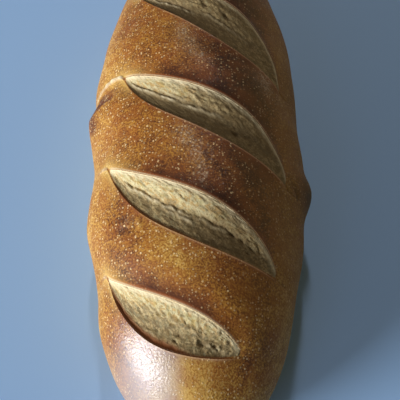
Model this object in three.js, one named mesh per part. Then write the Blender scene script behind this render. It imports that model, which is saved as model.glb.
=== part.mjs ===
// A sourdough French loaf, baked whole, with five slanting slashes that opened in the oven.
// Millimetres, +Z up. X runs across the loaf, Y along it, and the origin is on the flat base under
// the middle of the loaf. The loaf is one closed skin of rings laid along Y. Each slash opens
// between two neighbouring rings, so its two rims are edges of the mesh.

import * as THREE from "three";

// Driving sizes of the loaf.
const LENGTH = 300;
const WIDTH = 108;
const DOME_HEIGHT = 73;
const WIDEST_LEVEL = 30; // height of the widest line at mid-loaf
const NOSE_LEVEL = 23; // height of the same line at the two tips
const NOSE_POWER = 3; // how late it falls to that height
const NEAR_BLUNTNESS = 3.1; // power of the plan outline: the near tip is the blunter one
const FAR_BLUNTNESS = 2.5;
const PLAN_TAPER = 0.02; // the far half is this much wider, the near half as much narrower
const DOME_POWER = 2.7; // how long the top stays level before it falls to a tip
const DOME_ROUNDING = 2.2;
const CROWN_POWER = 0.97; // under 1 makes the section a little squarer than an ellipse
const HEEL_POWER = 0.75; // squares the section below its widest line
const HEEL_DEPTH = 1.22; // the underside would bulge to this times the level: the base cuts it flat
const HEEL_END_POWER = 7; // how near the tips the underside lifts off the base

// Swellings and waists of the sides: where along the loaf, at what angle from the top,
// how far out, how far they spread toward each end, and how far round the section.
const SWELLS = [
  { y: 12, angle: -1.35, out: 4.2, near: 16, far: 5, round: 0.45 },
  { y: 36, angle: -1.4, out: 2.2, near: 14, far: 16, round: 0.4 },
  { y: -20, angle: -1.4, out: -1.5, near: 12, far: 12, round: 0.4 },
  { y: -51, angle: -1.35, out: 1.2, near: 9, far: 18, round: 0.45 },
  { y: -84, angle: -1.4, out: -2, near: 14, far: 14, round: 0.4 },
  { y: -32, angle: 1.35, out: 4.8, near: 10, far: 9, round: 0.42 },
  { y: -92, angle: 1.4, out: -1.8, near: 20, far: 20, round: 0.4 },
];

// The slashes, nearest first. y is the middle of the opening, slant its fall across the loaf in
// millimetres for each radian round the section, and bow bends it into a shallow arc. It opens
// half on either side of that line, between the angles from and to. The near rim closes on the far
// one at the left end and the far rim on the near one at the right end, each over a short stretch
// that a higher power makes shorter. valley is where across the opening the crumb lies deepest, and
// sink how much deeper it lies there than at the foot of the near lip.
const SLASHES = [
  {
    y: -105, slant: -9.5, bow: 7, half: 11.6, nearPower: 7, farPower: 3.2,
    from: -1, to: 0.56, valley: 0.3, sink: 0.7,
  },
  {
    y: -59, slant: -18.5, bow: 2.8, half: 12.8, nearPower: 5.5, farPower: 4.3,
    from: -0.91, to: 0.84, valley: 0.5, sink: 1.9,
  },
  {
    y: -5, slant: -24, bow: -3.5, half: 12.2, nearPower: 5.5, farPower: 10,
    from: -0.79, to: 0.9, valley: 0.45, sink: 1.9,
  },
  {
    y: 58, slant: -21, bow: -5.6, half: 18, nearPower: 2.4, farPower: 8.5,
    from: -0.86, to: 0.91, valley: 0.45, sink: 2.4,
  },
  {
    y: 111, slant: -17, bow: -3, half: 7.5, nearPower: 5, farPower: 5,
    from: -0.55, to: 0.62, valley: 0.5, sink: 1.5,
  },
];

// Relief of the slashes and of the crust between them.
const LIP_DEPTH = 1.5; // the crust rolls in this far at the near rim
const LIP_WIDTH = 1.8; // over this width
const FAR_LIP_DEPTH = 0.7; // the crumb meets the far rim this far below it
const SINK_FADE = 1.4; // higher makes the crumb bed flatten sooner toward the ends of an opening
const NEAR_RIM_RISE = 0.7;
const FAR_RIM_RISE = 1.5;
const RIM_SPREAD = 4.5; // how far a raised rim reaches into the crust beside it
const FULL_OPENING = 13; // an opening this wide has its full depth
const CLOSED_GAP = 1.2; // width of the cut where it ran on and stayed shut
const UNDERSIDE_GAP = 8; // the same two rings lie this far apart under the loaf
const TAIL_DEPTH = 0.8; // the shut cut is a crease this deep at the ends of the opening
const TAIL_REACH = 0.16; // and fades over this angle
const CARRY_FADE = 9; // higher makes the shut cut leave the slant of its opening sooner
const BAND_SWELL = 1.6; // the crust between two slashes swells by this

// Slow waves of the crust: how far one reaches along the loaf, how it twists round it, where it starts.
const UNEVENNESS = 0.35; // height of each wave
const WAVES = [
  { reach: 15, twist: 2.1, start: 0 },
  { reach: 9.5, twist: -3.2, start: 1.3 },
  { reach: 6.3, twist: 4.4, start: 4 },
];
const WAVE_FADE = 1.4; // they are full where one plus the cosine of the angle passes this

// Mesh of the skin.
const COLUMNS = 66;
const TOP_SHARE = 0.58; // under 1 draws the columns together on top of the loaf
const CRUMB_STATIONS = [0, 0.07, 0.2, 0.36, 0.52, 0.74, 0.94, 1]; // across an opening
const BAND_STATIONS = [0.05, 0.14, 0.3, 0.5, 0.7, 0.86, 0.95]; // between two openings
const END_STATIONS = 11;
const NORMAL_STEP = 0.01;

const CRUST_COLOUR = 0xa9713a;
const CRUST_ROUGHNESS = 0.5;

const mix = (a, b, t) => a + (b - a) * t;
const clamp = (x, low, high) => Math.min(high, Math.max(low, x));
const smooth = (x) => {
  const t = clamp(x, 0, 1);
  return t * t * (3 - 2 * t);
};
const bell = (x) => Math.exp(-x * x);

// The smooth body of the loaf, without slashes, as a point for a place y along it and an angle
// from the top of its section: 0 is the crown, a quarter turn the widest line, half a turn the base.
function bodyPoint(y, angle) {
  const along = clamp((2 * y) / LENGTH, -1, 1);
  const reach = Math.abs(along);
  const bluntness = along < 0 ? NEAR_BLUNTNESS : FAR_BLUNTNESS;
  const halfWidth = (WIDTH / 2) * Math.sqrt(1 - reach ** bluntness) * (1 + PLAN_TAPER * along);
  const level = mix(WIDEST_LEVEL, NOSE_LEVEL, reach ** NOSE_POWER);
  const rise = (DOME_HEIGHT - WIDEST_LEVEL) * (1 - reach ** DOME_POWER) ** (1 / DOME_ROUNDING);
  const sag = HEEL_DEPTH * WIDEST_LEVEL * (1 - reach ** HEEL_END_POWER) ** (1 / DOME_ROUNDING);
  const side = Math.sin(angle);
  const up = Math.cos(angle);
  const squared = up < 0 ? Math.sign(side) * Math.abs(side) ** HEEL_POWER : side;
  const point = new THREE.Vector3(
    halfWidth * squared,
    y,
    level + (up < 0 ? sag * up : rise * up ** CROWN_POWER),
  );
  for (const swell of SWELLS) {
    const away = (y - swell.y) / (y < swell.y ? swell.near : swell.far);
    const out = swell.out * bell(away) * bell((angle - swell.angle) / swell.round);
    point.x += out * side;
    point.z += out * Math.max(0, up);
  }
  return point;
}

// Outward direction of the body, from points a small step away along it and round it.
function bodyNormal(y, angle) {
  const inside = clamp(y, -LENGTH / 2 + 1, LENGTH / 2 - 1);
  const round = bodyPoint(inside, angle + NORMAL_STEP).sub(bodyPoint(inside, angle - NORMAL_STEP));
  const along = bodyPoint(inside + 0.5, angle).sub(bodyPoint(inside - 0.5, angle));
  return round.cross(along).normalize();
}

// Slow unevenness of the dough, which dies out toward the flat base.
function dough(y, angle) {
  const waves = WAVES.map(({ reach, twist, start }) => Math.sin(y / reach + twist * angle + start));
  const sum = waves.reduce((total, wave) => total + wave);
  return UNEVENNESS * sum * smooth((1 + Math.cos(angle)) / WAVE_FADE);
}

// Where the two rims of a slash lie at an angle: in the opening they part, and past its ends they
// run on as one shut cut that eases down to the middle of the slash under the loaf.
function rims(slash, angle) {
  const at = clamp(angle, slash.from, slash.to);
  const share = (at - slash.from) / (slash.to - slash.from);
  const arc = slash.bow * ((2 * share - 1) ** 2 - 1 / 3);
  const line = slash.y + slash.slant * (at - (slash.from + slash.to) / 2) + arc;
  let near = line - slash.half * (1 - 2 * (1 - share) ** slash.nearPower);
  let far = line + slash.half * (1 - 2 * share ** slash.farPower);
  const past = Math.abs(angle - at);
  const rest = past / (Math.PI - Math.abs(at));
  const carry = (angle - at) * slash.slant * (1 - rest) ** CARRY_FADE;
  const settle = smooth(rest);
  near = mix(near, slash.y, settle) + carry;
  far = mix(far, slash.y, settle) + carry;
  const gap = mix(CLOSED_GAP, UNDERSIDE_GAP, settle);
  const opening = Math.max(far - near, gap);
  const middle = (near + far) / 2;
  return {
    near: middle - opening / 2,
    far: middle + opening / 2,
    opening,
    along: share,
    openness: past > 0 ? 0 : smooth((opening - CLOSED_GAP) / (FULL_OPENING - CLOSED_GAP)),
    tail: Math.exp(-past / TAIL_REACH),
  };
}

// How far the crumb lies below the rims: the crust rolls in at the near rim, a bank falls from the
// foot of that lip to the valley, and a rounded bank climbs from there to the far rim.
function crumbDepth(slash, edge, across) {
  if (across <= 0 || across >= 1) {
    return 0;
  }
  const lip = LIP_DEPTH * smooth((across * edge.opening) / LIP_WIDTH);
  const sink = slash.sink * Math.sin(edge.along * Math.PI) ** SINK_FADE;
  if (across < slash.valley) {
    return lip + sink * smooth(across / slash.valley);
  }
  const climb = (across - slash.valley) / (1 - slash.valley);
  return mix(lip + sink, FAR_LIP_DEPTH, Math.sin((climb * Math.PI) / 2));
}

function crumbRelief(slash, angle, across) {
  const edge = rims(slash, angle);
  const { openness, tail } = edge;
  const rim = mix(NEAR_RIM_RISE, FAR_RIM_RISE, across) * openness;
  const crease = TAIL_DEPTH * tail * Math.sin(across * Math.PI) * (1 - openness);
  return rim - openness * crumbDepth(slash, edge, across) - crease;
}

// Relief of the crust at a distance from a rim beside it.
function rimRelief(slash, angle, distance, rise) {
  return rise * rims(slash, angle).openness * Math.exp(-distance / RIM_SPREAD);
}

// One ring of the skin: a list of points, from a rule that gives the place and relief at an angle.
function columnAngle(column) {
  const turn = (2 * column) / COLUMNS - 1;
  return Math.PI * (TOP_SHARE * turn + (1 - TOP_SHARE) * turn ** 3);
}

function ring(rule) {
  return Array.from({ length: COLUMNS }, (_, column) => {
    const angle = columnAngle(column);
    const { y, relief } = rule(angle);
    const point = bodyPoint(y, angle);
    point.addScaledVector(bodyNormal(y, angle), relief + dough(y, angle));
    point.z = Math.max(0, point.z);
    return point;
  });
}

function endRings(slash, tipY, edge, rise) {
  return Array.from({ length: END_STATIONS }, (_, i) => {
    const share = Math.sin((((i + 1) / (END_STATIONS + 1)) * Math.PI) / 2);
    return ring((angle) => {
      const rim = rims(slash, angle)[edge];
      const y = mix(tipY, rim, 1 - Math.cos((share * Math.PI) / 2));
      return { y, relief: rimRelief(slash, angle, Math.abs(y - rim), rise) };
    });
  });
}

function slashRings(slash) {
  return CRUMB_STATIONS.map((across) =>
    ring((angle) => {
      const { near, far } = rims(slash, angle);
      return { y: mix(near, far, across), relief: crumbRelief(slash, angle, across) };
    }),
  );
}

function bandRings(before, after) {
  return BAND_STATIONS.map((share) =>
    ring((angle) => {
      const start = rims(before, angle).far;
      const end = rims(after, angle).near;
      const y = mix(start, end, share);
      const swell = BAND_SWELL * Math.sin(share * Math.PI) * Math.max(0, Math.cos(angle));
      const rise =
        rimRelief(before, angle, y - start, FAR_RIM_RISE) + rimRelief(after, angle, end - y, NEAR_RIM_RISE);
      return { y, relief: swell + rise };
    }),
  );
}

function loafRings() {
  const rings = endRings(SLASHES[0], -LENGTH / 2, "near", NEAR_RIM_RISE);
  SLASHES.forEach((slash, i) => {
    rings.push(...slashRings(slash));
    if (i + 1 < SLASHES.length) {
      rings.push(...bandRings(slash, SLASHES[i + 1]));
    }
  });
  rings.push(...endRings(SLASHES.at(-1), LENGTH / 2, "far", FAR_RIM_RISE).reverse());
  return rings;
}

// The closed skin: quads between rings, each split along its shorter diagonal, and a fan at each tip.
function loafGeometry() {
  const rings = loafRings();
  const points = [
    ...rings.flat(),
    new THREE.Vector3(0, -LENGTH / 2, NOSE_LEVEL),
    new THREE.Vector3(0, LENGTH / 2, NOSE_LEVEL),
  ];
  const nearTip = points.length - 2;
  const farTip = points.length - 1;
  const at = (row, column) => row * COLUMNS + (column % COLUMNS);
  const faces = [];
  for (let column = 0; column < COLUMNS; column++) {
    faces.push(nearTip, at(0, column + 1), at(0, column));
    faces.push(farTip, at(rings.length - 1, column), at(rings.length - 1, column + 1));
    for (let row = 0; row + 1 < rings.length; row++) {
      const a = at(row, column);
      const b = at(row, column + 1);
      const c = at(row + 1, column + 1);
      const d = at(row + 1, column);
      if (points[a].distanceTo(points[c]) < points[b].distanceTo(points[d])) {
        faces.push(a, b, c, a, c, d);
      } else {
        faces.push(a, b, d, b, c, d);
      }
    }
  }
  const geometry = new THREE.BufferGeometry().setFromPoints(points);
  geometry.setIndex(faces);
  geometry.computeVertexNormals();
  return geometry;
}

const crust = new THREE.MeshStandardMaterial({
  color: CRUST_COLOUR,
  roughness: CRUST_ROUGHNESS,
  metalness: 0,
});
const loaf = new THREE.Mesh(loafGeometry(), crust);
loaf.name = "loaf";

const bread = new THREE.Group();
bread.add(loaf);

export default bread;
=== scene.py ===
import math
import bpy
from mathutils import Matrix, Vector, noise


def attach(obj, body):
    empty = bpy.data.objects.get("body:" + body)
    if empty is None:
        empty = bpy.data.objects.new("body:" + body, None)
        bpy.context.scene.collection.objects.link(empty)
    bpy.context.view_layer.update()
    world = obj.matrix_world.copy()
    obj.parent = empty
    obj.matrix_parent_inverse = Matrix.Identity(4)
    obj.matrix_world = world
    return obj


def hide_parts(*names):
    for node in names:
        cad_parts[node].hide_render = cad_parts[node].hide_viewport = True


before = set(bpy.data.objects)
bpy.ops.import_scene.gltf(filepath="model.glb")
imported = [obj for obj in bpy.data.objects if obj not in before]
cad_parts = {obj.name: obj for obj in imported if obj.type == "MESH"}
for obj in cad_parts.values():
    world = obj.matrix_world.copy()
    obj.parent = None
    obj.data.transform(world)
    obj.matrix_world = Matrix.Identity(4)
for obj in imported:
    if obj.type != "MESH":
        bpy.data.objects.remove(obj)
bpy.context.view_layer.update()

mm = 0.001  # the loaf's sizes are in millimetres, Blender's in metres


def mix(a, b, t):
    return a + (b - a) * t


def clamp(x, low, high):
    return min(high, max(low, x))


def smooth(x):
    t = clamp(x, 0, 1)
    return t * t * (3 - 2 * t)


def ease(x, start, width):  # from 0 at start to 1 a width later
    return smooth((x - start) / width)


def bell(x):
    return math.exp(-x * x)


# the shape of the loaf
loaf = {
    "length": 300, "width": 108, "domeHeight": 73,
    "widestLevel": 30, "noseLevel": 23, "nosePower": 3,  # the widest line at mid-loaf and at the tips
    "nearBluntness": 3.1, "farBluntness": 2.5, "planTaper": 0.02,
    "domePower": 2.7, "domeRounding": 2.2, "crownPower": 0.97,
    "heelPower": 0.75, "heelDepth": 1.22, "heelEndPower": 7,
    "swells": [                                    # swellings and waists of the sides
        {"y": 12, "angle": -1.35, "out": 4.2, "near": 16, "far": 5, "round": 0.45},
        {"y": 36, "angle": -1.4, "out": 2.2, "near": 14, "far": 16, "round": 0.4},
        {"y": -20, "angle": -1.4, "out": -1.5, "near": 12, "far": 12, "round": 0.4},
        {"y": -51, "angle": -1.35, "out": 1.2, "near": 9, "far": 18, "round": 0.45},
        {"y": -84, "angle": -1.4, "out": -2, "near": 14, "far": 14, "round": 0.4},
        {"y": -32, "angle": 1.35, "out": 4.8, "near": 10, "far": 9, "round": 0.42},
        {"y": -92, "angle": 1.4, "out": -1.8, "near": 20, "far": 20, "round": 0.4},
    ],
    "swellEnd": 3,                                 # a swelling is cut off this many reaches away
    "slashes": [                                   # nearest first, angles from the top of the loaf
        {"y": -105, "slant": -9.5, "bow": 7, "half": 11.6, "nearPower": 7, "farPower": 3.2,
         "from": -1, "to": 0.56, "valley": 0.3, "sink": 0.7},
        {"y": -59, "slant": -18.5, "bow": 2.8, "half": 12.8, "nearPower": 5.5, "farPower": 4.3,
         "from": -0.91, "to": 0.84, "valley": 0.5, "sink": 1.9},
        {"y": -5, "slant": -24, "bow": -3.5, "half": 12.2, "nearPower": 5.5, "farPower": 10,
         "from": -0.79, "to": 0.9, "valley": 0.45, "sink": 1.9},
        {"y": 58, "slant": -21, "bow": -5.6, "half": 18, "nearPower": 2.4, "farPower": 8.5,
         "from": -0.86, "to": 0.91, "valley": 0.45, "sink": 2.4},
        {"y": 111, "slant": -17, "bow": -3, "half": 7.5, "nearPower": 5, "farPower": 5,
         "from": -0.55, "to": 0.62, "valley": 0.5, "sink": 1.5},
    ],
    "lipDepth": 1.5, "lipWidth": 1.8,              # the crust rolls in at the near rim
    "farLipDepth": 0.7, "sinkFade": 1.4,           # the crumb meets the far rim this far below it
    "nearRimRise": 0.7, "farRimRise": 1.5, "rimSpread": 4.5,
    "fullOpening": 13, "closedGap": 1.2, "undersideGap": 8,
    "carryFade": 9, "tailReach": 0.16,
    "tails": [                                     # left seam's rise and reach, right seam's rise
        (0.35, 0.12, -0.12), (0.5, 0.14, -0.3), (1.2, 0.42, -0.3), (-0.5, 0.16, -0.3), (-0.5, 0.16, -0.4),
    ],
    "ridgeWidth": 0.35,                            # how far the raised seams spread on each side
    "seamRagged": (0.85, 0.5), "seamRaggedPace": 22,  # base and spread of its noise
    "openEnds": 7,                                 # higher ends the seam and starts the crumb sooner
    # small folds of the crust: from and to as (y, angle), height or depth, half width, and darkness, which is
    # painted shade in the grooves and, below 0, painted light on the ridges
    "creases": [
        {"from": (15.5, -0.92), "to": (13.5, -1.3), "rise": -0.9, "wide": 1.6, "dark": 0.5},
        {"from": (20.5, -0.88), "to": (21, -1.2), "rise": -0.5, "wide": 1, "dark": 0.3},
        {"from": (-57.6, -0.86), "to": (-59.2, -0.66), "rise": -0.5, "wide": 0.9, "dark": 0.3},
        {"from": (-62.2, -0.8), "to": (-63.6, -0.62), "rise": -0.6, "wide": 0.9, "dark": 0.3},
        {"from": (-59.9, -0.85), "to": (-62, -0.6), "rise": 0.6, "wide": 0.9, "dark": -0.15},
        {"from": (-61, -0.52), "to": (-64.5, -0.5), "rise": 0.5, "wide": 1, "dark": -0.2},
        {"from": (-36.2, 0.97), "to": (-41, 1.09), "rise": -0.6, "wide": 0.8, "dark": 0.3},
        {"from": (-34.8, 0.98), "to": (-37.4, 1.1), "rise": 0.5, "wide": 0.9, "dark": -0.15},
    ],
    "creaseEnd": 4,                                # a crease is cut off this many half widths away
    "bandSwell": 1.6, "unevenness": 0.35, "waveFade": 1.4,
    "waves": [{"reach": 15, "twist": 2.1, "start": 0}, {"reach": 9.5, "twist": -3.2, "start": 1.3},
              {"reach": 6.3, "twist": 4.4, "start": 4}],
    "stains": [                                    # where the crust baked darker and redder; the patch at y 17.5 is partly painted shade of the hollow above the left swelling
        {"y": 12, "angle": -1.3, "long": 8, "round": 0.22, "strength": 0.45},
        {"y": 3.5, "angle": -1.22, "long": 4, "round": 0.13, "strength": 0.35},
        {"y": 17.5, "angle": -1.08, "long": 3.5, "round": 0.12, "strength": 0.35},
        {"y": -32, "angle": 1.4, "long": 8, "round": 0.3, "strength": 0.8},
        {"y": -123, "angle": 0.64, "long": 6, "round": 0.12, "strength": 0.3},
        {"y": -112, "angle": 0.85, "long": 9, "round": 0.2, "strength": 0.12},
        {"y": -62, "angle": -0.7, "long": 3, "round": 0.12, "strength": 0.1},
        {"y": -116, "angle": -0.35, "long": 5, "round": 0.3, "strength": 0.12},
    ],
    "crownSheens": [                                     # painted sheen: greyish patches on the crown that stand in for the reflection of a light beyond the far end
        {"y": 46, "angle": -0.14, "long": 6, "round": 0.05, "strength": 0.6},
        {"y": 37, "angle": -0.05, "long": 6, "round": 0.05, "strength": 0.55},
        {"y": 28, "angle": 0.04, "long": 5, "round": 0.05, "strength": 0.4},
        {"y": 20, "angle": 0.68, "long": 8, "round": 0.08, "strength": 0.5},
        {"y": -19, "angle": -0.1, "long": 4.5, "round": 0.07, "strength": 0.6},
        {"y": -28, "angle": -0.02, "long": 5, "round": 0.045, "strength": 0.55},
        {"y": -38, "angle": 0.05, "long": 7, "round": 0.05, "strength": 0.5},
        {"y": -61, "angle": -0.64, "long": 3, "round": 0.13, "strength": 0.2},
    ],
    # bake beside the rims: pairs are start and width of a change, as shares along the slash
    "burnBegins": (0.1, 0.3), "burnEases": (0.62, 0.25), "burnEasesBy": 0.55,
    "burnFlat": 1.2, "burnReach": (4, 9),          # full up to the first, then fading over these; the longer reach toward the right end also paints the shade of the loaf's right side
    "burnWash": 0.25, "burnWashReach": 20,         # share of the burn that spreads far
    # the glow is painted: an orange line past each far rim for light shining through the thin crust edge
    "glowDims": (0.45, 0.35), "glowDimsBy": 0.75, "glowFrom": 0.8, "glowReach": 0.8, "glowOpens": 3,
    "farRimReach": 0.6, "farRimOpens": 4, "nearRimReach": 2.2,
    # the pale line on the near lip's edge is a painted highlight
    "nearEdgeReach": 0.6, "nearEdgeBegins": (0.15, 0.2),
    "paleReach": 4, "paleEnds": 0.3, "nearPaleEnds": 0.12,
    "columns": 224, "topShare": 0.58,              # points of each ring, closer together on top
    "slashRows": 52, "bandRows": 28, "endRows": 32,  # rings of a slash, a band between two and an end
    "slashDraw": 0.5, "bandDraw": 0.6,             # how far these rings draw together at the rims
    "normalTurn": 0.01, "normalStep": 0.5, "tipInset": 1,
}


def bodyPoint(y, angle):  # the loaf without its slashes: y along it, angle from the crown
    along = clamp(2 * y / loaf["length"], -1, 1)
    reach = abs(along)
    bluntness = loaf["nearBluntness"] if along < 0 else loaf["farBluntness"]
    halfWidth = loaf["width"] / 2 * math.sqrt(1 - reach ** bluntness) * (1 + loaf["planTaper"] * along)
    level = mix(loaf["widestLevel"], loaf["noseLevel"], reach ** loaf["nosePower"])
    ending = 1 / loaf["domeRounding"]
    side, up = math.sin(angle), math.cos(angle)
    if up < 0:
        squared = math.copysign(abs(side) ** loaf["heelPower"], side)
        sag = loaf["heelDepth"] * loaf["widestLevel"] * (1 - reach ** loaf["heelEndPower"]) ** ending
        z = level + sag * up
    else:
        squared = side
        rise = (loaf["domeHeight"] - loaf["widestLevel"]) * (1 - reach ** loaf["domePower"]) ** ending
        z = level + rise * up ** loaf["crownPower"]
    x = halfWidth * squared
    for swell in loaf["swells"]:
        away = (y - swell["y"]) / (swell["near"] if y < swell["y"] else swell["far"])
        if abs(away) < loaf["swellEnd"]:
            out = swell["out"] * bell(away) * bell((angle - swell["angle"]) / swell["round"])
            x += out * side
            z += out * max(0, up)
    return Vector((x, y, z))


def bodyNormal(y, angle):
    end = loaf["length"] / 2 - loaf["tipInset"]
    inside = clamp(y, -end, end)
    turn, step = loaf["normalTurn"], loaf["normalStep"]
    around = bodyPoint(inside, angle + turn) - bodyPoint(inside, angle - turn)
    along = bodyPoint(inside + step, angle) - bodyPoint(inside - step, angle)
    return around.cross(along).normalized()


def doughWaves(y, angle):  # slow unevenness that dies out toward the base
    total = sum(math.sin(y / wave["reach"] + wave["twist"] * angle + wave["start"]) for wave in loaf["waves"])
    return loaf["unevenness"] * total * smooth((1 + math.cos(angle)) / loaf["waveFade"])


def rims(slash, angle):  # where the near and far rim of a slash lie at an angle
    at = clamp(angle, slash["from"], slash["to"])
    share = (at - slash["from"]) / (slash["to"] - slash["from"])
    arc = slash["bow"] * ((2 * share - 1) ** 2 - 1 / 3)  # less its mean, so that it only bends
    line = slash["y"] + slash["slant"] * (at - (slash["from"] + slash["to"]) / 2) + arc
    near = line - slash["half"] * (1 - 2 * (1 - share) ** slash["nearPower"])
    far = line + slash["half"] * (1 - 2 * share ** slash["farPower"])
    past = abs(angle - at)
    rest = past / (math.pi - abs(at))
    carry = (angle - at) * slash["slant"] * (1 - rest) ** loaf["carryFade"]
    settle = smooth(rest)
    near = mix(near, slash["y"], settle) + carry
    far = mix(far, slash["y"], settle) + carry
    opening = max(far - near, mix(loaf["closedGap"], loaf["undersideGap"], settle))
    middle = (near + far) / 2
    wide = (opening - loaf["closedGap"]) / (loaf["fullOpening"] - loaf["closedGap"])
    return {
        "near": middle - opening / 2, "far": middle + opening / 2, "opening": opening, "along": share,
        "openness": 0 if past > 0 else smooth(wide),
        "tail": math.exp(-past / loaf["tailReach"]), "past": past, "left": angle < at,
    }


def patchesAt(patches, y, angle):  # strength of soft round patches at a place of the crust
    total = 0
    for patch in patches:
        near = bell((y - patch["y"]) / patch["long"])
        total += patch["strength"] * near * bell((angle - patch["angle"]) / patch["round"])
    return total


def creaseAt(y, angle):  # relief of the small folds in the crust, with painted shade in their grooves and painted light on their ridges
    def spread(y, angle):  # the crust laid flat, in millimetres
        return Vector((y, angle * loaf["width"] / 2))

    relief, dark = 0, 0
    here = spread(y, angle)
    for crease in loaf["creases"]:
        start, end = spread(*crease["from"]), spread(*crease["to"])
        share = clamp((here - start).dot(end - start) / (end - start).length_squared, 0, 1)
        off = (here - start.lerp(end, share)).length
        if off < loaf["creaseEnd"] * crease["wide"]:
            fold = bell(off / crease["wide"])
            relief += crease["rise"] * fold
            dark += crease["dark"] * fold
    return relief, dark


def rimRise(edge, distance, rise):
    return rise * edge["openness"] * math.exp(-distance / loaf["rimSpread"])


def farRimMarks(edge, distance):  # burn, painted glow, cream line and pale tip that the crust past a far rim takes
    along, openness = edge["along"], edge["openness"]
    heat = openness * ease(along, *loaf["burnBegins"])
    heat *= 1 - loaf["burnEasesBy"] * ease(along, *loaf["burnEases"])
    close = math.exp(-max(0, distance - loaf["burnFlat"]) / mix(*loaf["burnReach"], along))
    wash = math.exp(-distance / loaf["burnWashReach"])
    dimmer = 1 - loaf["glowDimsBy"] * ease(along, *loaf["glowDims"])
    glow = bell((distance - loaf["glowFrom"]) / loaf["glowReach"])
    rim = bell(distance / loaf["farRimReach"])
    return {
        "burn": heat * mix(close, wash, loaf["burnWash"]),
        "glow": smooth(openness * loaf["glowOpens"]) * glow * dimmer,
        "farRim": smooth(openness * loaf["farRimOpens"]) * rim * (1 + dimmer) / 2,
        "pale": paleTip(edge, distance, loaf["paleEnds"]),
    }


def nearRimMarks(edge, distance):  # what the crust before a near rim takes, with a painted highlight on the lip's edge
    begun = ease(edge["along"], *loaf["nearEdgeBegins"])
    return {
        "nearRim": edge["openness"] * math.exp(-distance / loaf["nearRimReach"]),
        "nearLipGlint": edge["openness"] * bell(distance / loaf["nearEdgeReach"]) * begun,
        "pale": paleTip(edge, distance, loaf["nearPaleEnds"]),
    }


def paleTip(edge, distance, ends):  # the crust is pale round the left end of a slash
    return (1 - smooth(edge["along"] / ends)) * edge["tail"] * math.exp(-distance / loaf["paleReach"])


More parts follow.
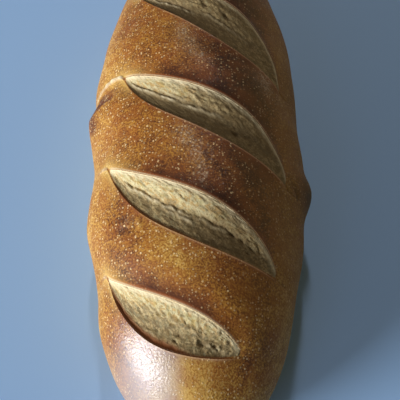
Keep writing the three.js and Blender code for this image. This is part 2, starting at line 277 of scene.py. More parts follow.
# What tore inside each slash. Places are shares along the slash from its left end and across it from
# the near rim, sizes are millimetres. Tears run from one place to the other and wander. Lists with
# five entries have one for each slash, and pairs are start and width of a change where no note says
# otherwise. The noises with three values are fractal: roughness, lacunarity and octaves.
crumb = {
    "lipCurl": 0.5, "lipCurlReach": 2.2,           # how far the crumb draws back under the near lip
    "lipShade": [4.8, 2.4, 1.8, 2.4, 2],           # how far the dark band reaches in from the near lip: baked colour, and painted shade under the lip
    "lipShadeEdge": (0.4, 1.4),                    # how late its fade starts, and how steep it is
    "lipShadeShrinks": (0.4, 0.25), "lipShadeShrinksTo": 0.35,
    "crumbFrom": (0.5, 0.9),                       # the crust ends this far inside the near rim
    "farLip": 1.9, "farLipOpens": 4, "farLipDims": (0.45, 0.4), "farLipDimsBy": 0.4,
    "tearFromLip": (0.6, 1.6), "tearFromRim": 1.2,  # tears stay this far from the rims
    "grain": 0.24, "grainLength": 1.8, "grainWidth": 1.3, "grainNoise": (0.6, 2.1, 4),
    "fold": 0.4, "foldLength": 6, "foldWidth": 3,  # winding ridges
    "foldWander": 0.3, "foldWanderPace": 3, "foldPower": 4,
    "rightShadeFrom": [0.6, 0.5, 0.24, 0.1, 0.3],         # from this share along, painted shade turns the crumb a duller brown toward the right end, which lies in shade
    "rightShade": [0.4, 0.75, 1, 1, 0.9], "rightShadeWidth": 0.35,
    "bankShade": [                                      # painted shade: a darker near bank, which faces away from the lamp, from the left end to the right one
        (0.1, 0.1, 0.15, 0.1), (0.1, 0.15, 0.7, 0.3), (0.5, 0.75, 0.65, 0.5), (0.3, 0.75, 0.5, 0.3),
        (0.3, 0.4, 0.2, 0),
    ],
    "dullAcross": (0.45, 0.25), "dullAlong": (0.45, 0.3), "dullFades": 0.8,
    "tearOpens": 0.15, "tearCloses": 0.25,         # shares of a tear over which it opens and closes
    "tearWidth": 0.75, "tearSteep": 1.5,           # half width unless the tear has its own
    "tearRagged": (0.75, 0.5), "tearRaggedLength": 1.8,  # base and spread of its noise
    "wanderLength": 5, "wanderNoise": (0.7, 2.2, 3),
    "tearSteps": (9, 5),                           # unlike tears lie this far apart in the noises
    "ridgeOff": 2, "ridgeWidth": 1.1, "glintWidth": 0.8,  # the raised edge, this many half widths before it, and the width of its painted highlight
    "tears": [                                     # with a half width of its own where it is a soft valley
        [{"from": (0.24, 0.74), "to": (0.74, 0.68), "deep": 0.5, "ridge": 0.25, "wander": 1.4, "wide": 1.3},
         {"from": (0.62, 0.46), "to": (0.92, 0.5), "deep": 0.45, "ridge": 0.35, "wander": 1.4, "wide": 1.2}],
        [{"from": (0.12, 0.64), "to": (0.36, 0.56), "deep": 1.1, "ridge": 1, "wander": 0.9},
         {"from": (0.33, 0.54), "to": (0.5, 0.5), "deep": 0.9, "ridge": 0.9, "wander": 1.2},
         {"from": (0.46, 0.52), "to": (0.72, 0.56), "deep": 1, "ridge": 0.3, "wander": 0.9},
         {"from": (0.36, 0.44), "to": (0.52, 0.4), "deep": 0.4, "ridge": 0.5, "wander": 1}],
        [{"from": (0.04, 0.6), "to": (0.4, 0.52), "deep": 1.1, "ridge": 1.1, "wander": 0.8},
         {"from": (0.36, 0.46), "to": (0.52, 0.56), "deep": 0.7, "ridge": 0.7, "wander": 1.1},
         {"from": (0.44, 0.54), "to": (0.64, 0.6), "deep": 0.6, "ridge": 0.5, "wander": 1.1},
         {"from": (0.3, 0.64), "to": (0.42, 0.6), "deep": 0.4, "ridge": 0.4, "wander": 1}],
        [{"from": (0.12, 0.5), "to": (0.5, 0.46), "deep": 0.9, "ridge": 0.8, "wander": 1.2},
         {"from": (0.5, 0.56), "to": (0.8, 0.5), "deep": 0.6, "ridge": 0.4, "wander": 1.1}],
        [{"from": (0.12, 0.55), "to": (0.75, 0.5), "deep": 0.8, "ridge": 0.5, "wander": 0.9}],
    ],
    "holeEdge": (1.35, 0.9),                       # where the rim of a hole ends, and its width
    "holeRagged": 0.25, "holeRaggedPace": 1.7, "holeDepth": 0.8,
    "holes": [                                     # along, across, half length, half width, depth
        [(0.68, 0.32, 2.6, 1.3, 1.5), (0.52, 0.34, 1, 0.7, 0.8), (0.49, 0.2, 1, 0.7, 0.8),
         (0.37, 0.3, 0.9, 0.7, 0.7), (0.87, 0.72, 1.4, 0.9, 0.8), (0.77, 0.34, 1.6, 0.8, 0.9),
         (0.43, 0.7, 1.2, 0.6, 0.6), (0.56, 0.78, 1, 0.6, 0.6)],
        [(0.7, 0.5, 1.7, 0.9, 1.2), (0.76, 0.52, 1.1, 0.8, 1.1), (0.81, 0.48, 1.2, 0.8, 1.1),
         (0.86, 0.64, 1.1, 0.7, 0.9), (0.79, 0.3, 0.9, 0.6, 0.8)],
        [(0.68, 0.34, 2, 1.1, 1.8), (0.76, 0.3, 1.3, 0.7, 0.9), (0.62, 0.7, 0.9, 0.6, 0.7)],
        [(0.66, 0.68, 2.2, 1.4, 1.8), (0.53, 0.72, 2, 1.2, 1.6), (0.4, 0.4, 1.5, 1, 1)],
        [(0.6, 0.5, 1.6, 1, 1.2)],
    ],
    "pore": 0.75, "poreSize": 2.1, "poreEdge": (0.26, 0.16),  # as for the holes
    "poreSpread": (2, 0.6), "porePace": 2,         # factor and base of the noise that thins them out
    # painted shade in the tears, holes and pores
    "tearDark": 0.4, "holeDark": 0.6, "poreDark": 0.6,
    "smoothBank": [0.1, 0.5, 0.45, 0.4, 0.35],     # up to this share across, the near bank is smoother
    "smoothness": 0.85, "smoothEdge": (-0.08, 0.16),
    "cream": [0.62, 0.56, 0.5, 0.56, 0.56],        # past this share across, the far bank is pale: partly the crumb's own colour, partly painted light on the bank that faces the lamp
    "creamEdge": (-0.2, 0.4),
    # each slash lies this much further into its noises, so that no two tear alike
    "grainStep": 7.3, "foldStep": 5.1, "foldStart": 20, "poreStep": 3.1,
    "seamStep": 3.7, "seamStart": 1.1, "flowStep": 30,
}


def crumbDepth(slash, edge, across):  # how far the crumb lies below the rims
    if across <= 0 or across >= 1:
        return 0
    depth = loaf["lipDepth"] * smooth(across * edge["opening"] / loaf["lipWidth"])
    sink = slash["sink"] * math.sin(edge["along"] * math.pi) ** loaf["sinkFade"]
    if across < slash["valley"]:
        return depth + sink * smooth(across / slash["valley"])
    climb = (across - slash["valley"]) / (1 - slash["valley"])
    return mix(depth + sink, loaf["farLipDepth"], math.sin(climb * math.pi / 2))


def bankShadeAt(index, along):  # painted shade of the near bank, between the levels of its slash
    levels = crumb["bankShade"][index]
    place = along * (len(levels) - 1)
    step = min(int(place), len(levels) - 2)
    return mix(levels[step], levels[step + 1], smooth(place - step))


def slashLength(index):  # of the opening, in millimetres over the crown
    return (loaf["slashes"][index]["to"] - loaf["slashes"][index]["from"]) * loaf["width"] / 2


def tearAt(index, tear, edge, u, v):  # relief of one tear, with painted shade in its groove and a painted highlight on its raised edge
    (startAlong, startAcross), (endAlong, endAcross) = tear["from"], tear["to"]
    run = (edge["along"] - startAlong) / (endAlong - startAlong)
    if run <= 0 or run >= 1:
        return 0, 0, 0
    fade = smooth(run / crumb["tearOpens"]) * smooth((1 - run) / crumb["tearCloses"])
    byDepth, byRidge = crumb["tearSteps"]
    wandering = Vector((u / crumb["wanderLength"], tear["deep"] * byDepth, index))
    line = mix(startAcross, endAcross, run) * edge["opening"]
    line += tear["wander"] * noise.fractal(wandering, *crumb["wanderNoise"])
    base, spread = crumb["tearRagged"]
    tearing = Vector((u / crumb["tearRaggedLength"], index, tear["ridge"] * byRidge))
    ragged = base + spread * noise.noise(tearing)
    wide = tear.get("wide", crumb["tearWidth"])
    groove = fade * ragged * math.exp(-abs((v - line) / wide) ** crumb["tearSteep"])
    fromRidge = v - line + crumb["ridgeOff"] * wide
    relief = tear["ridge"] * fade * ragged * bell(fromRidge / crumb["ridgeWidth"]) - tear["deep"] * groove
    dark = crumb["tearDark"] * groove * min(1, tear["deep"])
    tearGlint = fade * ragged ** 2 * bell(fromRidge / crumb["glintWidth"]) * min(1, tear["ridge"])
    return relief, dark, tearGlint


def holeAt(hole, edge, u, v, long, ragged):  # relief and painted shade of one hole
    along, across, halfLong, halfWide, deep = hole
    away = math.hypot((u - along * long) / halfLong, (v - across * edge["opening"]) / halfWide) + ragged
    reach, width = crumb["holeEdge"]
    pit = smooth((reach - away) / width)
    return -crumb["holeDepth"] * deep * pit, crumb["holeDark"] * pit


def tornCrumb(index, edge, across):  # relief of the crumb, painted shade in its tears, holes and pores, and painted highlights on its torn edges
    long = slashLength(index)
    u, v = edge["along"] * long, across * edge["opening"]
    here = Vector((u / crumb["grainLength"], v / crumb["grainWidth"], crumb["grainStep"] * index))
    relief, dark, tearGlint = 0, 0, 0
    for tear in crumb["tears"][index]:
        rise, groove, tearGlintHere = tearAt(index, tear, edge, u, v)
        relief, dark, tearGlint = relief + rise, max(dark, groove), max(tearGlint, tearGlintHere)
    ragged = crumb["holeRagged"] * noise.noise(here * crumb["holeRaggedPace"])
    for hole in crumb["holes"][index]:
        sink, pit = holeAt(hole, edge, u, v, long, ragged)
        relief, dark = relief + sink, max(dark, pit)
    rough = mix(crumb["smoothness"], 1, ease(across - crumb["smoothBank"][index], *crumb["smoothEdge"]))
    relief += crumb["grain"] * rough * noise.fractal(here, *crumb["grainNoise"])
    wander = crumb["foldWander"] * noise.noise(here / crumb["foldWanderPace"])
    depth = crumb["foldStep"] * index + crumb["foldStart"]
    winding = Vector((u / crumb["foldLength"], v / crumb["foldWidth"] + wander, depth))
    relief += crumb["fold"] * rough * (1 - abs(2 * noise.noise(winding))) ** crumb["foldPower"]
    cell = noise.voronoi(Vector((u, v, crumb["poreStep"] * index)) / crumb["poreSize"])[0][0]
    (reach, width), (spread, base) = crumb["poreEdge"], crumb["poreSpread"]
    porous = smooth(noise.noise(here / crumb["porePace"]) * spread + base)
    pore = rough * smooth((reach - cell) / width) * porous
    return relief - crumb["pore"] * pore, max(dark, crumb["poreDark"] * pore), tearGlint


def seamRise(index, edge):  # height and strength of the shut seam that runs on past an end of a slash
    leftRise, leftReach, rightRise = loaf["tails"][index]
    rise, reach = (leftRise, leftReach) if edge["left"] else (rightRise, loaf["tailReach"])
    base, spread = loaf["seamRagged"]
    place = Vector((edge["past"] * loaf["seamRaggedPace"], crumb["seamStep"] * index, crumb["seamStart"]))
    ragged = base + spread * noise.noise(place)
    shut = 1 - smooth(edge["openness"] * loaf["openEnds"])
    return rise, ragged * bell(edge["past"] / reach) * shut


def ridgeBeside(index, edge, distance):  # the crust swells beside a raised seam, and is pale there
    rise, seam = seamRise(index, edge)
    share = seam * bell(distance / loaf["ridgeWidth"]) if rise > 0 else 0
    return rise * share, share * min(1, abs(rise))


def crumbMarks(index, edge, across, dark, tearGlint):  # what colours the crumb at a place of the opening
    along, openness, opening = edge["along"], edge["openness"], edge["opening"]
    fromLip, toFar = across * opening, (1 - across) * opening
    shrink = ease(along, *crumb["lipShadeShrinks"])
    lipShade = crumb["lipShade"][index] * mix(1, crumb["lipShadeShrinksTo"], shrink)
    solid, fading = crumb["lipShadeEdge"]
    farBank = ease(across, *crumb["dullAcross"]) * (1 - ease(along, *crumb["dullAlong"]))
    # painted shade toward the right end of the slash
    unshaded = 1 - crumb["rightShade"][index] * ease(along, crumb["rightShadeFrom"][index], crumb["rightShadeWidth"])
    dimmer = 1 - crumb["farLipDimsBy"] * ease(along, *crumb["farLipDims"])
    return {
        "crumb": smooth(openness * loaf["openEnds"]) * ease(fromLip, *crumb["crumbFrom"]),
        "pit": dark * openness, "tearGlint": tearGlint,
        "cream": unshaded * ease(across - crumb["cream"][index], *crumb["creamEdge"]),
        "bankShade": bankShadeAt(index, along) * (1 - crumb["dullFades"] * farBank),
        "lipShade": openness * (1 - smooth(fromLip / lipShade * fading - solid)),
        "farLip": smooth(openness * crumb["farLipOpens"]) * bell(toFar / crumb["farLip"]) * dimmer,
    }


def openingPlace(index, edge, across):  # a point between the two rims of a slash
    openness, opening = edge["openness"], edge["opening"]
    relief = mix(loaf["nearRimRise"], loaf["farRimRise"], across) * openness
    relief -= openness * crumbDepth(loaf["slashes"][index], edge, across)
    rise, seam = seamRise(index, edge)
    if rise < 0:
        seam *= math.sin(across * math.pi)
    relief += rise * seam
    y = mix(edge["near"], edge["far"], across)
    marks = {"flow": (edge["along"] * slashLength(index), across * opening, crumb["flowStep"] * index)}
    if 0 < across < 1:
        fromLip, toFar = across * opening, (1 - across) * opening
        tear, dark, tearGlint = tornCrumb(index, edge, across) if openness > 0 else (0, 0, 0)
        inside = ease(fromLip, *crumb["tearFromLip"]) * smooth(toFar / crumb["tearFromRim"])
        relief += tear * openness * inside
        y -= crumb["lipCurl"] * openness * math.sin(clamp(fromLip / crumb["lipCurlReach"], 0, 1) * math.pi)
        marks.update(crumbMarks(index, edge, across, dark, tearGlint))
    # a sunk seam also gets a dark line of painted shade in its groove
    marks["farRim" if rise > 0 else "seam"] = seam * min(1, abs(rise))
    return y, relief, marks


def bandPlace(index, edges, share, angle):  # a point of the crust between two slashes
    before, after = edges[index], edges[index + 1]
    y = mix(before["far"], after["near"], share)
    fromFar, toNear = y - before["far"], after["near"] - y
    relief = loaf["bandSwell"] * math.sin(share * math.pi) * max(0, math.cos(angle))
    relief += rimRise(before, fromFar, loaf["farRimRise"]) + rimRise(after, toNear, loaf["nearRimRise"])
    (riseBefore, paleBefore), (riseAfter, paleAfter) = (
        ridgeBeside(index, before, fromFar), ridgeBeside(index + 1, after, toNear))
    far, near = farRimMarks(before, fromFar), nearRimMarks(after, toNear)
    marks = {**far, **near, "pale": max(far["pale"], near["pale"])}
    marks["farRim"] = max(marks["farRim"], paleBefore, paleAfter)
    return y, relief + riseBefore + riseAfter, marks


def ringPlace(step, edges, angle):  # (y, relief, marks) of one point of a ring
    kind, index, share = step
    edge = edges[index]
    if kind == "slash":
        return openingPlace(index, edge, share)
    if kind == "band":
        return bandPlace(index, edges, share, angle)
    pull = 1 - math.cos(math.sin(share * math.pi / 2) * math.pi / 2)
    if kind == "nearEnd":
        y = mix(-loaf["length"] / 2, edge["near"], pull)
        distance = edge["near"] - y
        return y, rimRise(edge, distance, loaf["nearRimRise"]), nearRimMarks(edge, distance)
    y = mix(loaf["length"] / 2, edge["far"], pull)
    distance = y - edge["far"]
    return y, rimRise(edge, distance, loaf["farRimRise"]), farRimMarks(edge, distance)


def stations(count, draw):  # shares from 0 to 1, drawn toward both ends
    steps = [(i + 0.5) / count for i in range(count)]
    return [mix(s, 0.5 - 0.5 * math.cos(math.pi * s), draw) for s in steps]


def ringPlan():  # what each ring of the ball becomes, from the near tip to the far one
    slashes = loaf["slashes"]
    ends = [(i + 1) / (loaf["endRows"] + 1) for i in range(loaf["endRows"])]
    plan = [("nearEnd", 0, s) for s in ends]
    for index in range(len(slashes)):
        inner = stations(loaf["slashRows"] - 2, loaf["slashDraw"])
        plan += [("slash", index, s) for s in [0] + inner + [1]]
        if index + 1 < len(slashes):
            plan += [("band", index, s) for s in stations(loaf["bandRows"], loaf["bandDraw"])]
    return plan + [("farEnd", len(slashes) - 1, s) for s in reversed(ends)]


# what the material reads at each point of the mesh
maskNames = ("crumb", "cream", "bankShade", "pit", "tearGlint", "lipShade", "farLip", "seam", "burn", "glow", "farRim",
             "nearRim", "nearLipGlint", "pale", "stainAndShade", "crownSheen")


def shapeLoaf():
    plan = ringPlan()
    bpy.ops.object.select_all(action="DESELECT")
    bpy.ops.mesh.primitive_uv_sphere_add(
        segments=loaf["columns"], ring_count=len(plan) + 1, radius=1, rotation=(-math.pi / 2, 0, 0))
    piece = bpy.context.object
    piece.name = "bakedLoaf"
    bpy.ops.object.transform_apply(rotation=True)
    columns = []
    for column in range(loaf["columns"]):
        turn = 2 * column / loaf["columns"] - 1
        angle = math.pi * (loaf["topShare"] * turn + (1 - loaf["topShare"]) * turn ** 3)
        columns.append((angle, [rims(slash, angle) for slash in loaf["slashes"]]))
    count = len(piece.data.vertices)
    flow = [0] * 3 * count                         # place in the opening: the crumb's grain follows it
    masks = {name: [0] * count for name in maskNames}
    for vertex in piece.data.vertices:
        x, y, z = vertex.co
        row = round(math.acos(clamp(-y, -1, 1)) / math.pi * (len(plan) + 1)) - 1
        if row < 0 or row >= len(plan):            # the two poles of the ball
            vertex.co = Vector((0, math.copysign(loaf["length"] / 2, y), loaf["noseLevel"])) * mm
            continue
        column = round((math.atan2(x, z) / math.pi + 1) * loaf["columns"] / 2) % loaf["columns"]
        angle, edges = columns[column]
        along, relief, marks = ringPlace(plan[row], edges, angle)
        fold, shade = creaseAt(along, angle)
        point = bodyPoint(along, angle)
        point += bodyNormal(along, angle) * (relief + fold + doughWaves(along, angle))
        point.z = max(0, point.z)
        vertex.co = point * mm
        # the stains also carry the creases' painted shade in their grooves and painted light on their ridges
        marks["stainAndShade"] = patchesAt(loaf["stains"], along, angle) + shade
        marks["crownSheen"] = patchesAt(loaf["crownSheens"], along, angle)
        if "flow" in marks:
            flow[3 * vertex.index:3 * vertex.index + 3] = [part * mm for part in marks.pop("flow")]
        for name, value in marks.items():
            masks[name][vertex.index] = value
    for name, values in masks.items():
        piece.data.attributes.new(name, "FLOAT", "POINT").data.foreach_set("value", values)
    piece.data.attributes.new("flow", "FLOAT_VECTOR", "POINT").data.foreach_set("vector", flow)
    piece.data.update()
    bpy.ops.object.shade_smooth()
    return piece


baked = shapeLoaf()
print("loaf shaped,", len(baked.data.polygons), "faces")


# The finish. Sizes and places are millimetres. Levels are where a change starts and ends, and what
# it goes from and to, 0 to 1 where only the first two are given.
finish = {
    "colours": {
        "paleCrust": (0.78, 0.46, 0.11, 1), "goldenCrust": (0.56, 0.26, 0.038, 1),
        "brownCrust": (0.32, 0.118, 0.018, 1), "chestnutCrust": (0.12, 0.034, 0.007, 1),
        "burntCrust": (0.045, 0.013, 0.004, 1), "ruddyCrust": (0.36, 0.095, 0.012, 1),
        "rustCrust": (0.2, 0.045, 0.008, 1), "shadeCrust": (0.215, 0.135, 0.04, 1),
        "speck": (0.95, 0.68, 0.33, 1), "crownSheen": (0.72, 0.56, 0.35, 1),
        # the next two are painted sheen and painted reflection for the near tip
        "nearSheen": (0.74, 0.64, 0.57, 1), "nearReflection": (0.46, 0.42, 0.43, 1),
        "rimGlow": (0.52, 0.12, 0.01, 1), "creamAndGlint": (0.97, 0.82, 0.5, 1),
        "tipPale": (0.92, 0.62, 0.18, 1), "lipEdgeGlint": (0.8, 0.5, 0.26, 1), "seam": (0.24, 0.09, 0.022, 1),
        "soleLight": (0.62, 0.4, 0.15, 1), "soleTan": (0.46, 0.25, 0.075, 1),
        "soleBrown": (0.26, 0.12, 0.032, 1),
        "creamCrumb": (0.82, 0.69, 0.36, 1), "tanCrumb": (0.55, 0.4, 0.18, 1),
        "oliveCrumb": (0.23, 0.16, 0.066, 1), "toastCrumb": (0.64, 0.36, 0.09, 1),
        "bankShadeCrumb": (0.14, 0.09, 0.033, 1), "greyCrumb": (0.42, 0.4, 0.22, 1),
        "mossCrumb": (0.52, 0.45, 0.13, 1), "holeShadeCrumb": (0.16, 0.095, 0.03, 1),
        "lipShadeCrumb": (0.2, 0.055, 0.008, 1),
    },
    "crustStops": [(0, "paleCrust"), (0.2, "goldenCrust"), (0.46, "brownCrust"), (0.7, "chestnutCrust"),
                   (0.94, "burntCrust")],
    "soleStops": [(0.35, "soleLight"), (0.55, "soleTan"), (0.75, "soleBrown")],
    "crumbStops": [(0, "oliveCrumb"), (0.5, "tanCrumb"), (1, "creamCrumb")],
    "patches": {                                   # noise: size, detail, distortion
        "ruddy": {"noise": (8, 4), "levels": (0.4, 0.64, 0, 0.4)},
        "speckled": {"noise": (12, 3), "levels": (0.32, 0.56, 0.35, 1.15)},
        "sheenGrain": {"noise": (1.1, 4), "levels": (0.48, 0.6, 0.12, 1)},
        "glints": {"noise": (1.1, 2), "levels": (0.54, 0.62, 0.03, 1)},
        "grey": {"noise": (2.2, 4, 0.4), "levels": (0.52, 0.66, 0, 0.4)},
        "clots": {"noise": (1.5, 3, 0.3), "levels": (0.54, 0.66, 0, 0.65)},
        "toasted": {"noise": (1.7, 3, 0.8), "levels": (0.48, 0.6, 0, 0.7)},
        "mossy": {"noise": (3.4, 3, 0.5), "levels": (0.5, 0.65, 0, 0.3)},
    },
    "slowNoise": (30, 2), "patchyNoise": (6, 3, 0.4), "fineNoise": (0.9, 3),
    "streakNoise": (2.1, 3, 0.6), "grainNoise": (0.8, 3), "strandStretch": (0.7, 1, 1),
    "zones": {                                     # axis and levels along it, multiplied together
        # nearPale makes the crust paler toward the near tip and darker toward the far end: partly the crust's
        # own bake, partly painted light from the near side
        "nearPale": [("Y", -150, 0, -0.42, 0.1), ("X", -34, -4), ("X", 30, 46, 1, 0.4)],
        # shaded is the crust right of the crown, greyed as painted shade where the loaf turns away from the
        # lamp; sober sets how strongly that painted shade greys it along the loaf
        "shaded": [("X", 4, 42)],
        "sober": [("Y", -130, -60, 0.35, 0.6)],
        "sole": [("Z", 2.5, 0.8)],
        "nearTip": [("Y", -105, -125)],
        # painted sheen and painted reflection on the left of the near tip, where the lamp's highlight falls
        "nearSheen": [("X", -2, -14, 0, 0.3)],
        "nearReflectionZone": [("X", -37, -26), ("X", -4, -14, 0, 0.38)],
        "nearGloss": [("Y", -118, -95, 0.8, 0), ("X", -10, 3, 1, 0.1)],
        "crownGloss": [("beside", 10, 30, 0.5, 0.1), ("Y", -100, -70)],
        "topGloss": [("Z", 30, 55, 0.2, 1)],
    },
    "crownLine": 4,                                # the glossy crown runs along this X
    "slowBake": (0.3, 0.19),                       # factor and base, as in the other pairs
    "patchyBake": (0.35, 0.65, -0.07, 0.07), "fineBake": (0.33, 0.67, -0.2, 0.2),
    "bakeSteps": [                                 # axis and levels along it, added up; the steps along X from -10 mm on are painted shade, darker right of the crown, and painted bounce light, lighter on the far right flank
        ("Z", 12, 50, -0.1, 0), ("X", -52, -34, -0.11, 0.18), ("X", -34, -12, 0, -0.15),
        ("X", -10, 20, -0.05, 0.3), ("X", 28, 44, 0, -0.32),
    ],
    "burnHides": -0.8, "burnBakes": 0.86,
    "smallSpecks": (1.35, 0, 0.42), "largeSpecks": (2.6, 0, 0.27),  # spacing, least radius, spread of radii
    # the specks are the blisters' pale tops and partly painted glints, so they fade in the painted shade
    "speckEdge": 0.11, "speckBright": (0.55, 0.65), "speckBurnt": (-0.7, 0.85), "speckShaded": -0.6,
    "strength": {"nearRim": 0.7, "glow": 0.8, "pale": 0.8, "nearLipGlint": 0.6, "seam": 0.6, "tearGlint": 0.75},
    "soleMottle": (0.8, 0.3),                      # from the patchy and the fine noise
    "crumbTone": (0.85, 0.08), "streakTone": (0.34, 0.66, -0.3, 0.3), "grainTone": (0.35, 0.65, -0.2, 0.2),
    "poreSpacing": 1.1, "poreLevels": (0.36, 0.1, 0, 0.65), "poreStreaks": (0.42, 0.56),
    "unshadedTone": (0.85, 0.15), "clotStreaks": (0.38, 0.56), "crumbEdge": (0.2, 0.8),
    "roughness": (0.3, 0.7, 0.48, 0.6), "dryRoughness": 0.22, "crumbRoughness": 0.75,
    "burnMatt": -0.7,
    "specular": 0.32, "coatRoughness": 0.15, "coatIor": 1.75,
    "speckHeight": 0.5, "crumbGrainHeight": 1.1, "streakHeight": 1.8,
    "bump": {"Normal": 0.2, "Coat Normal": 0.3},   # depth under the base and under the gloss
}


class Weave:  # short calls for the nodes of one material
    def __init__(self, tree):
        self.tree = tree
        self.place = self.add("ShaderNodeTexCoord").outputs["Object"]
        self.flow = self.add("ShaderNodeAttribute", attribute_name="flow").outputs["Vector"]
        self.axes = dict(self.add("ShaderNodeSeparateXYZ", {"Vector": self.place}).outputs.items())
        fromLine = self.math("SUBTRACT", self.axes["X"], finish["crownLine"] * mm)
        self.axes["beside"] = self.math("ABSOLUTE", fromLine)

    def add(self, kind, inputs=None, **settings):
        node = self.tree.nodes.new(kind)
        for name, value in settings.items():
            setattr(node, name, value)
        for socket, value in (inputs or {}).items():
            if isinstance(value, bpy.types.NodeSocket):
                self.tree.links.new(value, node.inputs[socket])
            else:
                node.inputs[socket].default_value = value
        return node

    def math(self, operation, *values, clamped=False):
        inputs = dict(enumerate(values))
        return self.add("ShaderNodeMath", inputs, operation=operation, use_clamp=clamped).outputs[0]

    def remap(self, value, low, high, newLow=0, newHigh=1):
        inputs = {"Value": value, "From Min": low, "From Max": high, "To Min": newLow, "To Max": newHigh}
        return self.add("ShaderNodeMapRange", inputs, interpolation_type="SMOOTHSTEP").outputs["Result"]

    def alongAxis(self, axis, low, high, *ends):
        return self.remap(self.axes[axis], low * mm, high * mm, *ends)

    def zone(self, name):  # a soft region of the loaf
        first, *others = finish["zones"][name]
        share = self.alongAxis(*first)
        for step in others:
            share = self.math("MULTIPLY", share, self.alongAxis(*step))
        return share

    def mask(self, name, strength=1):
        share = self.add("ShaderNodeAttribute", attribute_name=name).outputs["Fac"]
        return share if strength == 1 else self.math("MULTIPLY", share, strength)

    def noise(self, place, size, detail=2, distortion=0):
        inputs = {"Vector": place, "Scale": 1 / (size * mm), "Detail": detail, "Distortion": distortion}
        return self.add("ShaderNodeTexNoise", inputs).outputs["Fac"]

    def patches(self, name, place):
        patch = finish["patches"][name]
        return self.remap(self.noise(place, *patch["noise"]), *patch["levels"])

    def cells(self, place, size):
        return self.add("ShaderNodeTexVoronoi", {"Vector": place, "Scale": 1 / (size * mm)})

    def blend(self, factor, a, b):
        return self.add("ShaderNodeMix", {0: factor, 6: a, 7: b}, data_type="RGBA").outputs[2]

    def layers(self, under, steps):  # each step lays one colour over what is there, by its share
        for share, name in steps:
            under = self.blend(share, under, finish["colours"][name])
        return under

    def ramp(self, factor, stops):
        node = self.add("ShaderNodeValToRGB", {"Fac": factor})
        while len(node.color_ramp.elements) < len(stops):
            node.color_ramp.elements.new(0.5)
        for element, (position, name) in zip(node.color_ramp.elements, stops):
            element.position = position
            element.color = finish["colours"][name]
        return node.outputs["Color"]


def newMaterial(name):
    material = bpy.data.materials.new(name)
    material.use_nodes = True
    return material, material.node_tree, material.node_tree.nodes["Principled BSDF"]


def blisters(weave, spacing, radius, spread):  # round specks, each with its own radius and brightness
    cells = weave.cells(weave.place, spacing)
    chances = weave.add("ShaderNodeSeparateColor", {"Color": cells.outputs["Color"]}).outputs
    edge = weave.math("MULTIPLY_ADD", chances["Red"], spread, radius)
    inside = weave.math("SUBTRACT", edge, cells.outputs["Distance"])
    bright = weave.math("MULTIPLY_ADD", chances["Green"], *finish["speckBright"])
    return weave.math("MULTIPLY", weave.remap(inside, 0, finish["speckEdge"]), bright)


def crustBasics(weave):  # what the colour, the roughness and the relief of the crust share
    burn = weave.mask("burn")
    unburnt = weave.math("MULTIPLY_ADD", burn, finish["burnHides"], 1)
    small, large = blisters(weave, *finish["smallSpecks"]), blisters(weave, *finish["largeSpecks"])
    specks = weave.math("MAXIMUM", small, large)
    return {
        "patchy": weave.noise(weave.place, *finish["patchyNoise"]),
        "fine": weave.noise(weave.place, *finish["fineNoise"]),
        "burn": burn, "unburnt": unburnt,
        "shaded": weave.math("MULTIPLY", weave.zone("shaded"), unburnt),
        "specks": weave.math("MULTIPLY", specks, weave.patches("speckled", weave.place)),
    }


def bakedTone(weave, basics):  # how far the crust baked, from 0 pale to 1 burnt
    bake = weave.math("MULTIPLY_ADD", weave.noise(weave.place, *finish["slowNoise"]), *finish["slowBake"])
    bake = weave.math("ADD", bake, weave.zone("nearPale"))
    for step in finish["bakeSteps"]:
        bake = weave.math("ADD", bake, weave.alongAxis(*step))
    bake = weave.math("ADD", bake, weave.remap(basics["patchy"], *finish["patchyBake"]))
    bake = weave.math("ADD", bake, weave.remap(basics["fine"], *finish["fineBake"]))
    bake = weave.math("MULTIPLY", bake, basics["unburnt"])
    bake = weave.math("MULTIPLY_ADD", basics["burn"], finish["burnBakes"], bake)
    # stains, with the creases' painted shade and light
    return weave.math("ADD", bake, weave.mask("stainAndShade"))


def crustColour(weave, basics):
    strength = finish["strength"]
    crisp = weave.math("MULTIPLY_ADD", basics["burn"], *finish["speckBurnt"])
    crisp = weave.math("MULTIPLY_ADD", basics["shaded"], finish["speckShaded"], crisp, clamped=True)
    nearTip = weave.zone("nearTip")
    crownSheen = weave.math("MULTIPLY", weave.mask("crownSheen"), weave.patches("sheenGrain", weave.place), clamped=True)
    crust = weave.layers(weave.ramp(bakedTone(weave, basics), finish["crustStops"]), [
        (weave.math("MULTIPLY", weave.patches("ruddy", weave.place), basics["unburnt"]), "ruddyCrust"),
        # painted shade on the crust right of the crown
        (weave.math("MULTIPLY", basics["shaded"], weave.zone("sober")), "shadeCrust"),
        (weave.mask("nearRim", strength["nearRim"]), "rustCrust"),
        # pale blister specks, partly painted glints
        (weave.math("MULTIPLY", basics["specks"], crisp), "speck"),
        # painted sheen and painted reflection on the near tip
        (weave.math("MULTIPLY", nearTip, weave.zone("nearSheen")), "nearSheen"),
        (weave.math("MULTIPLY", weave.zone("nearReflectionZone"), nearTip), "nearReflection"),
        # painted sheen on the crown
        (crownSheen, "crownSheen"),
        # painted glow past the far rims
        (weave.mask("glow", strength["glow"]), "rimGlow"),
        (weave.mask("pale", strength["pale"]), "tipPale"),
        (weave.mask("farRim"), "creamAndGlint"),
        # painted highlight on the near lip's edge
        (weave.mask("nearLipGlint", strength["nearLipGlint"]), "lipEdgeGlint"),
        # painted shade in the sunk seams' grooves
        (weave.mask("seam", strength["seam"]), "seam"),
    ])
    patchyShare, fineShare = finish["soleMottle"]
    mottle = weave.math("MULTIPLY", basics["fine"], fineShare)
    mottle = weave.math("MULTIPLY_ADD", basics["patchy"], patchyShare, mottle)
    return weave.blend(weave.zone("sole"), crust, weave.ramp(mottle, finish["soleStops"]))


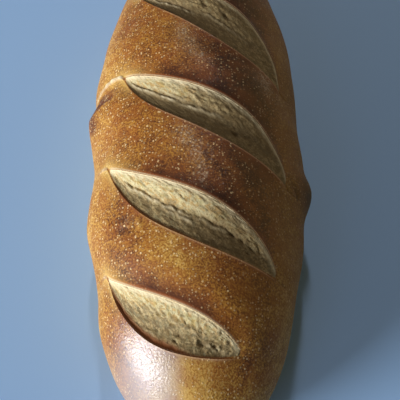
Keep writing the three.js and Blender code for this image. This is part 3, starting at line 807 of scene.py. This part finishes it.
def crumbColour(weave, strand, streak, grain):
    cream, bankShade = weave.mask("cream"), weave.mask("bankShade")
    # olive to cream across the slash: partly the crumb's colour, partly painted shade on the near bank and
    # painted light on the far one
    tone = weave.math("MULTIPLY_ADD", cream, *finish["crumbTone"])
    tone = weave.math("ADD", tone, weave.remap(streak, *finish["streakTone"]))
    tone = weave.math("ADD", tone, weave.remap(grain, *finish["grainTone"]), clamped=True)
    undulled = weave.math("MULTIPLY_ADD", bankShade, -1, 1)
    cells = weave.cells(weave.flow, finish["poreSpacing"])
    pores = weave.remap(cells.outputs["Distance"], *finish["poreLevels"])
    unshaded = weave.math("MULTIPLY_ADD", cream, *finish["unshadedTone"])
    clots = weave.math("MULTIPLY", weave.patches("clots", weave.flow), unshaded)
    return weave.layers(weave.ramp(tone, finish["crumbStops"]), [
        (weave.math("MULTIPLY", weave.patches("grey", weave.flow), undulled), "greyCrumb"),
        # dark pores: painted shade of small holes
        (weave.math("MULTIPLY", pores, weave.remap(streak, *finish["poreStreaks"])), "holeShadeCrumb"),
        (weave.math("MULTIPLY", clots, weave.remap(streak, *finish["clotStreaks"])), "creamCrumb"),
        (weave.math("MULTIPLY", weave.patches("toasted", strand), unshaded), "toastCrumb"),
        (weave.math("MULTIPLY", weave.patches("mossy", weave.flow), unshaded), "mossCrumb"),
        # painted shade on the near bank
        (bankShade, "bankShadeCrumb"),
        # painted highlight on the torn edges
        (weave.mask("tearGlint", finish["strength"]["tearGlint"]), "creamAndGlint"),
        (weave.mask("farLip"), "creamAndGlint"),
        # painted shade in tears, holes and pores
        (weave.mask("pit"), "holeShadeCrumb"),
    ])


def crustGloss(weave, burn, isCrumb):  # the thin bright coat on the near tip and along the crown
    crown = weave.math("MULTIPLY", weave.zone("crownGloss"), weave.patches("glints", weave.place))
    gloss = weave.math("MAXIMUM", weave.zone("nearGloss"), crown)
    gloss = weave.math("MULTIPLY", gloss, weave.zone("topGloss"))
    gloss = weave.math("MULTIPLY", gloss, weave.math("MULTIPLY_ADD", burn, finish["burnMatt"], 1))
    return weave.math("SUBTRACT", gloss, isCrumb, clamped=True)


def breadMaterial():
    material, tree, shader = newMaterial("bakedCrust")
    weave = Weave(tree)
    basics = crustBasics(weave)
    strand = weave.add("ShaderNodeMapping", {"Vector": weave.flow, "Scale": finish["strandStretch"]}).outputs[0]
    streak = weave.noise(strand, *finish["streakNoise"])
    grain = weave.noise(weave.place, *finish["grainNoise"])
    isCrumb = weave.remap(weave.mask("crumb"), *finish["crumbEdge"])

    colour = weave.blend(isCrumb, crustColour(weave, basics), crumbColour(weave, strand, streak, grain))
    # the dark band inside each near lip: baked colour and painted shade under the lip
    colour = weave.layers(colour, [(weave.mask("lipShade"), "lipShadeCrumb")])
    tree.links.new(colour, shader.inputs["Base Color"])

    # burnt and shaded crust is rougher, the crumb is rough all over
    dry = weave.math("MAXIMUM", basics["burn"], basics["shaded"])
    roughness = weave.remap(basics["patchy"], *finish["roughness"])
    roughness = weave.math("MULTIPLY_ADD", dry, finish["dryRoughness"], roughness)
    roughness = weave.add("ShaderNodeMix", {0: isCrumb, 2: roughness, 3: finish["crumbRoughness"]}).outputs[0]
    tree.links.new(roughness, shader.inputs["Roughness"])
    tree.links.new(crustGloss(weave, basics["burn"], isCrumb), shader.inputs["Coat Weight"])
    shader.inputs["Specular IOR Level"].default_value = finish["specular"]
    shader.inputs["Coat Roughness"].default_value = finish["coatRoughness"]
    shader.inputs["Coat IOR"].default_value = finish["coatIor"]

    crustHeight = weave.math("MULTIPLY_ADD", basics["specks"], finish["speckHeight"], basics["fine"])
    crumbHeight = weave.math("MULTIPLY", streak, finish["streakHeight"])
    crumbHeight = weave.math("MULTIPLY_ADD", grain, finish["crumbGrainHeight"], crumbHeight)
    height = weave.add("ShaderNodeMix", {0: isCrumb, 2: crustHeight, 3: crumbHeight}).outputs[0]
    for socket, depth in finish["bump"].items():
        bump = weave.add("ShaderNodeBump", {"Height": height, "Strength": 1, "Distance": depth * mm})
        tree.links.new(bump.outputs["Normal"], shader.inputs[socket])
    return material


baked.data.materials.append(breadMaterial())
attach(baked, "root")
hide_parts("loaf")
print("bread material done")


# the stage, camera and light
stage = {
    "floorSize": 4, "floorColour": (0.38, 0.62, 0.94, 1), "floorRoughness": 0.6,
    "roomColour": (1, 0.84, 0.6, 1), "roomStrength": 0.08,
}

bpy.ops.object.select_all(action="DESELECT")
bpy.ops.mesh.primitive_plane_add(size=stage["floorSize"], location=(0, 0, 0))
floor = bpy.context.object
floor.name = "floor"
floorMaterial, tree, shader = newMaterial("paleFloor")
shader.inputs["Base Color"].default_value = stage["floorColour"]
shader.inputs["Roughness"].default_value = stage["floorRoughness"]
floor.data.materials.append(floorMaterial)

# the focal length and the image are in pixels of the photo
view = {"elevation": 60, "distance": 350, "aim": (1.5, -38.2, 45), "focalPixels": 717.5, "imageWidth": 400,
        "sensorWidth": 36, "clipStart": 10}

tilt = math.radians(view["elevation"])
looking = Vector((0, math.cos(tilt), -math.sin(tilt)))
cameraData = bpy.data.cameras.new("camera")
cameraData.sensor_width = view["sensorWidth"]
cameraData.lens = view["focalPixels"] / view["imageWidth"] * view["sensorWidth"]
cameraData.clip_start = view["clipStart"] * mm
camera = bpy.data.objects.new("camera", cameraData)
camera.location = (Vector(view["aim"]) - looking * view["distance"]) * mm
camera.rotation_euler = looking.to_track_quat("-Z", "Y").to_euler()
bpy.context.collection.objects.link(camera)
bpy.context.scene.camera = camera

# bearings in degrees, from the left side toward the near end, distances and sizes in metres
lights = {
    "window": {"bearing": 25, "elevation": 16, "distance": 5, "size": (2.2, 1.7), "power": 330,
               "colour": (0.95, 0.98, 1.06)},
    "nearWindow": {"bearing": 55, "elevation": 35, "distance": 1.6, "size": (0.5, 0.8), "power": 1.05,
                   "colour": (0.6, 0.86, 1.32)},
    "farLamp": {"bearing": -90, "elevation": 55, "distance": 1.3, "size": (0.05, 0.34), "power": 2.2,
                "colour": (0.98, 0.96, 1.02)},
    "farWindow": {"bearing": -142, "elevation": 20, "distance": 1.3, "size": (0.5, 0.5), "power": 0.75,
                  "colour": (1, 0.82, 0.52)},
}


def addLight(name, lamp):
    data = bpy.data.lights.new(name, "AREA")
    data.shape = "RECTANGLE"
    data.size, data.size_y = lamp["size"]
    data.energy = lamp["power"]
    data.color = lamp["colour"]
    light = bpy.data.objects.new(name, data)
    bearing, elevation = math.radians(lamp["bearing"]), math.radians(lamp["elevation"])
    level = math.cos(elevation)
    direction = Vector((-level * math.cos(bearing), -level * math.sin(bearing), math.sin(elevation)))
    light.location = direction * lamp["distance"]
    light.rotation_euler = (-direction).to_track_quat("-Z", "Y").to_euler()
    bpy.context.collection.objects.link(light)


for name, lamp in lights.items():
    addLight(name, lamp)

world = bpy.data.worlds.new("room")
world.use_nodes = True
background = world.node_tree.nodes["Background"]
background.inputs["Color"].default_value = stage["roomColour"]
background.inputs["Strength"].default_value = stage["roomStrength"]
bpy.context.scene.world = world
bpy.context.scene.view_settings.view_transform = "Standard"
print("stage, camera and lights set")
